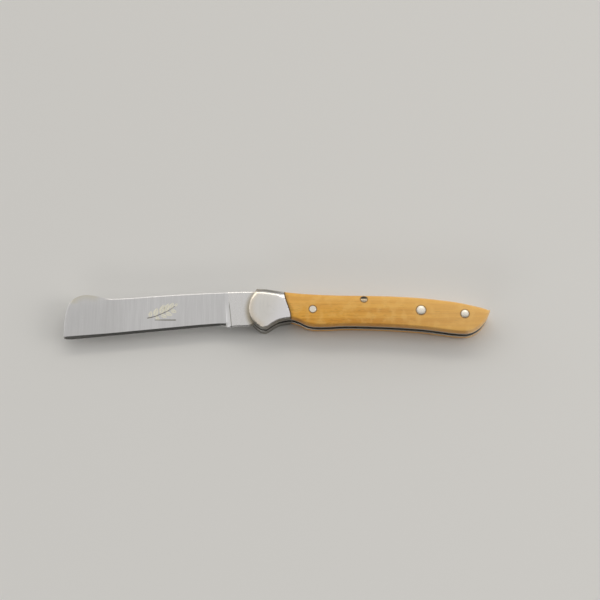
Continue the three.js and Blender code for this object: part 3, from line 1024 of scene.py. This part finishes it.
def front_rivet(side):
    """A short rivet through one scale and liner only, flush at both ends."""
    face = THICKNESS + 0.02
    inner = MIDDLE + SLOT / 2
    radius = FRONT_RIVET_RADIUS
    profile = [(0, inner), (radius, inner), (radius, face - 0.08), (radius - 0.02, face - 0.03),
               (radius - 0.06, face), (0, face + 0.01)]
    if side == "right":
        profile = [(r, THICKNESS - z) for r, z in reversed(profile)]
    obj = lathe_mesh(f"{side}_front_rivet", FRONT_RIVET, profile)
    write_even(obj, "wear_and_rim_shade", 0.16)
    finish_piece(obj, "handle", "pin_steel", pin_steel, f"{side}_front_scale_rivet")


def pivot():
    radius = PIVOT_RADIUS
    face = THICKNESS - 0.006
    obj = turned_both_ends("peened_pivot_pin", PIVOT, [(radius, face - 0.012), (radius - 0.02, face),
                                                      (0, face)])
    finish_piece(obj, "handle", "bolster_metal", bolster_metal, "pivot_pin")


def spring_pin():
    """Its ends are ground away to the scales' rounded edge."""
    rim = [Edge(arc(SPRING_PIN, SPRING_PIN_RADIUS, 0, 2 * math.pi, 48), 0.08, 0.05, chamfer=True)]

    def ground(plan):
        return scale_top(plan) + 0.03 - rim[0].drop(plan)

    obj = plate_mesh("ground_spring_pin", rim, ground, mirrored(ground), spacing=0.35, sharp=30)
    # Painted dark reflection on the upper half of the pin's ground ends
    write_attribute(obj, "painted_dark_reflection", smooth_step(plan_of(obj)[:, 1] - SPRING_PIN[1], -0.1, 0.5))
    write_even(obj, "wear_and_rim_shade", 0.9)
    finish_piece(obj, "handle", "pin_steel", pin_steel, "spring_pin")


# ------------------------ the blade

EDGE_HALF = 0.04
# The bevel's width at places along X
BEVEL_PLACES = [-90, -84, -70, -30, -22, -18.5]
BEVEL_WIDTHS = [1.5, 1.4, 1.15, 1.15, 0.95, 0.6]
BEVEL_HALF = 0.48
SPINE_HEIGHT = 20.0
PLUNGE_WIDTH = 1.5
PLUNGE_END = [(-18.0, 7.5), (-17.3, -4.0)]
PLUNGE_ROWS = 8
PLUNGE_LINE = [(-17.6, 4.7), (-16.45, -5.6)]
PLUNGE_LINE_HALF = 0.16
PLUNGE_LINE_DEPTH = 0.06
THINNEST = 0.03
# How far in from the outline each edge is eased, and how far it drops at the outline
TANG_EASE = (0.06, 0.06)
SPINE_EASE = (0.35, 0.065)
FOOT_EASE = (0.35, 0.075)
LIFTER_SLOPE = (3.0, 0.11)
TIP_ROUND = (1.2, 0.14)
HEEL_EASE = (0.16, 0.08)
NO_EASE = (0, 0)

edge_run = np.array(EDGE_TIP) - np.array(EDGE_HEEL)
edge_run /= np.hypot(*edge_run)
edge_up = np.array([edge_run[1], -edge_run[0]])


def x_on(line, y):
    """The X at a height y on the straight line through two points."""
    (x0, y0), (x1, y1) = line
    return x0 + (x1 - x0) * (y - y0) / (y1 - y0)


def bevel_width(plan):
    """The bevel is widest at the tip and runs out towards the heel."""
    return np.interp(np.asarray(plan)[..., 0], BEVEL_PLACES, BEVEL_WIDTHS)


def blade_half(plan):
    """Half the blade's thickness at points of its side, before its edges are eased."""
    above = (plan - np.array(EDGE_HEEL)) @ edge_up
    width = bevel_width(plan)
    taper = BEVEL_HALF + (BLADE_HALF - BEVEL_HALF) * (above - width) / (SPINE_HEIGHT - width)
    bevel = EDGE_HALF + (BEVEL_HALF - EDGE_HALF) * np.clip(above, 0, None) / width
    ground = np.minimum(np.where(above < width, bevel, taper), BLADE_HALF)
    rise = np.clip((plan[:, 0] - x_on(PLUNGE_END, plan[:, 1])) / PLUNGE_WIDTH + 1, 0, 1)
    whole = ground + (BLADE_HALF - ground) * rise * (1.4 - 0.4 * rise)
    beside = np.abs(plan[:, 0] - x_on(PLUNGE_LINE, plan[:, 1]))
    fading = 1 - smooth_step(plan[:, 1], 3.5, 6.0)
    return whole - PLUNGE_LINE_DEPTH * fading * np.clip(1 - beside / PLUNGE_LINE_HALF, 0, 1)


def blade_edges():
    lifter = catmull_rom(BARK_LIFTER)
    summit = np.argmin(np.hypot(*(lifter - np.array(LIFTER_SUMMIT)).T))
    foot = np.argmin(np.hypot(*(lifter - np.array(LIFTER_FOOT)).T))
    tang = arc(PIVOT, TANG_RADIUS, TANG_START, 2.5 * math.pi, 60)
    heel = catmull_rom(HEEL, 8)
    shoulder = np.array([tuple(tang[-1]), (SHOULDER_X, TANG_RADIUS), BLADE_SPINE[0]])
    return [
        Edge(evenly(shoulder[:2], 0.6), *TANG_EASE, chamfer=True),
        Edge(evenly(shoulder[1:], 0.6), *TANG_EASE, chamfer=True),
        Edge(evenly(catmull_rom(BLADE_SPINE), 0.8), *SPINE_EASE, chamfer=True),
        Edge(evenly(lifter[:foot + 1], 0.5), *FOOT_EASE, chamfer=True),
        Edge(evenly(lifter[foot:summit + 1], 0.5), *LIFTER_SLOPE, chamfer=True),
        Edge(evenly(lifter[summit:], 0.5), *TIP_ROUND, rows=5),
        Edge(evenly(TIP_CORNER, 0.3), *NO_EASE),
        Edge(evenly([EDGE_TIP, HEEL[0]], 1.0), *NO_EASE),
        Edge(evenly(heel, 0.4), *HEEL_EASE, chamfer=True),
        Edge(np.concatenate([[HEEL[-1]], tang]), *TANG_EASE, chamfer=True),
    ]


def blade_creases():
    """The bevel's upper line, and lines down the plunge and its corner."""
    edge = np.array([np.array(EDGE_HEEL) + edge_run * d for d in np.arange(1.0, 71.4, 0.8)])
    lines = [edge + edge_up * bevel_width(edge)[:, None]]
    ys = np.linspace(-4.6, 9.2, 24)
    for share in np.linspace(0, 1, PLUNGE_ROWS + 1):
        lines.append(np.column_stack([x_on(PLUNGE_END, ys) - PLUNGE_WIDTH * (1 - share), ys]))
    ys = np.linspace(-5.0, 6.0, 24)
    for side in (-1, 0, 1):
        lines.append(np.column_stack([x_on(PLUNGE_LINE, ys) + side * PLUNGE_LINE_HALF, ys]))
    return lines


def blade_steel():
    """Ground across, duller at the tip, with a painted cream reflection on the bark lifter."""
    made, base = metal("blade_steel", (0.705, 0.705, 0.715), (0.635, 0.635, 0.645), 0.31, (0.3, 9, 9))
    along = made.vector_math("DOT_PRODUCT", made.flat, (1, 0, 0))
    base = made.blend(made.spread(along, -72, -58, 0.3, 0.0), base, (0.50, 0.50, 0.50))
    return finished(made, made.tinted(base, "painted_cream_reflection", CREAM_REFLECTION, 0.8))


def blade_part(centre):
    """Which of the blade's three steels lies at a point: 0 its flats, 1 its bevel, 2 its ricasso."""
    above = (centre - np.array(EDGE_HEEL)) @ edge_up
    if centre[0] > x_on(PLUNGE_END, centre[1]):
        return 2
    if above < bevel_width(centre) and centre[0] < EDGE_HEEL[0] - 0.2:
        return 1
    return 0


def blade():
    rim = blade_edges()

    def left_face(plan):
        eased = blade_half(plan) - np.max([edge.drop(plan) for edge in rim], axis=0)
        return MIDDLE + np.maximum(eased, THINNEST)

    hole = hole_edge(PIVOT, PIVOT_RADIUS + 0.05, 0.02, 0.02)
    obj = plate_mesh("ground_blade", rim, left_face, mirrored(left_face), [hole],
                     creases=blade_creases(), spacing=2.5, sharp=5.0)
    plan = plan_of(obj)
    # Painted cream reflection on the bark lifter's slope
    on_lifter = 1 - smooth_step(distance_to(plan, rim[4].line), 0.8, 3.2)
    write_attribute(obj, "painted_cream_reflection", on_lifter * (1 - smooth_step(plan[:, 0], -77.5, -73.5)))
    finish_piece(obj, "blade", "blade_steel", blade_steel(), "blade")
    obj.data.materials.append(finished(*metal("bevel_steel", (0.90, 0.89, 0.85), (0.78, 0.77, 0.74), 0.2,
                                              (4, 0.08, 0.08))))
    obj.data.materials.append(ricasso_steel())
    for face in obj.data.polygons:
        face.material_index = blade_part(np.array([face.center.x, face.center.y]) / MM)
    return left_face


# ------------------------ the etched sprig

SPRIG_CENTRE = (-47.2, 0.6)
ETCH_PROUD = 0.012
ETCH_SUNK = 0.05
LEAF_STEPS = 10
LEAF_RIB = 0.10
STEM = [(-6.3, -2.7), (-3.2, -2.0), (0.2, -0.6), (3.2, 0.9), (5.6, 2.7)]
# Each pair of leaves: its share of the way up the stem, and its upper and lower leaf's lengths
LEAF_PAIRS = [(0.10, 3.0, 0), (0.26, 4.0, 2.5), (0.44, 4.5, 3.0), (0.62, 4.1, 3.3), (0.79, 3.3, 3.0)]


def leaf(base, angle, length, width):
    """The two halves of a pointed leaf, with a clear line for its midrib between them."""
    along = np.linspace(0, 1, LEAF_STEPS)
    bulge = width / 2 * np.sin(math.pi * along**0.8)
    turn = np.array([[math.cos(angle), math.sin(angle)], [-math.sin(angle), math.cos(angle)]])
    halves = []
    for side in (1, -1):
        outer = np.column_stack([along * length, side * (bulge + LEAF_RIB)])
        inner = np.column_stack([along[::-1] * length, np.full(LEAF_STEPS, side * LEAF_RIB)])
        halves.append(np.concatenate([outer, inner[1:-1]]) @ turn + np.array(base))
    return halves


def ribbon(line, widths):
    """The outline of a band of changing width along a line."""
    line = np.array(line, float)
    run = np.gradient(line, axis=0)
    normal = np.column_stack([-run[:, 1], run[:, 0]]) / np.hypot(*run.T)[:, None]
    widths = np.array(widths)[:, None] / 2
    return np.concatenate([line + normal * widths, (line - normal * widths)[::-1]])


def etching(name, shapes, face, material):
    """Thin shapes that follow the blade's left face and stand a hair above it."""
    points, polygons = [], []
    for shape in shapes:
        plan = shape + np.array(SPRIG_CENTRE)
        heights = face(plan)
        first, count = len(points), len(plan)
        points += [(x, y, z + ETCH_PROUD) for (x, y), z in zip(plan, heights)]
        points += [(x, y, z - ETCH_SUNK) for (x, y), z in zip(plan, heights)]
        polygons.append([first + i for i in range(count)])
        polygons.append([first + count + i for i in reversed(range(count))])
        polygons += [[first + i, first + (i + 1) % count, first + count + (i + 1) % count,
                      first + count + i] for i in range(count)]
    finish_piece(mesh_object(name, np.array(points), polygons), "blade", "blade_steel", material)


def sprig(face):
    """A plain sprig of leaves over a short ground line."""
    stem = catmull_rom(STEM, 8)
    leaves = []
    for share, upper, lower in LEAF_PAIRS:
        base = stem[int(share * (len(stem) - 1))]
        leaves += leaf(base + np.array([0.1, 0.25]), 1.35 - 0.25 * share, upper, 0.5 * upper)
        if lower:
            leaves += leaf(base + np.array([0.3, -0.2]), -0.50 + 0.2 * share, lower, 0.5 * lower)
    leaves += leaf(stem[-1], 0.75, 1.9, 0.9)
    etching("etched_leaves", leaves, face, etched("etched_pale", (0.74, 0.72, 0.60), (0.97, 0.95, 0.84)))
    lines = [ribbon(stem, np.linspace(0.42, 0.2, len(stem))),
             ribbon([(-3.0, -3.55), (1.5, -3.55), (6.3, -3.55)], [0.25, 0.45, 0.45])]
    etching("etched_lines", lines, face, etched("etched_dark", (0.16, 0.15, 0.12), (0.28, 0.265, 0.225)))


# ------------------------ making everything

washer_brass = brass("washer_brass")
stained = [(SPRING_PIN, SPRING_PIN_RADIUS), (FRONT_RIVET, FRONT_RIVET_RADIUS),
           (MIDDLE_RIVET, MIDDLE_HEAD), (REAR_RIVET, REAR_HEAD)]
for side in ("left", "right"):
    bolster(side)
    scale(side, boxwood(f"{side}_boxwood", stained))
    liner(side)
    front_rivet(side)
    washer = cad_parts[f"{side}_pivot_washer"]
    washer.data.materials.clear()
    washer.data.materials.append(washer_brass)
spring()
pivot()
spring_pin()
domed_rivet("domed_middle_rivet", MIDDLE_RIVET, MIDDLE_HEAD, "middle_rivet")
domed_rivet("domed_rear_rivet", REAR_RIVET, REAR_HEAD, "rear_rivet")
sprig(blade())
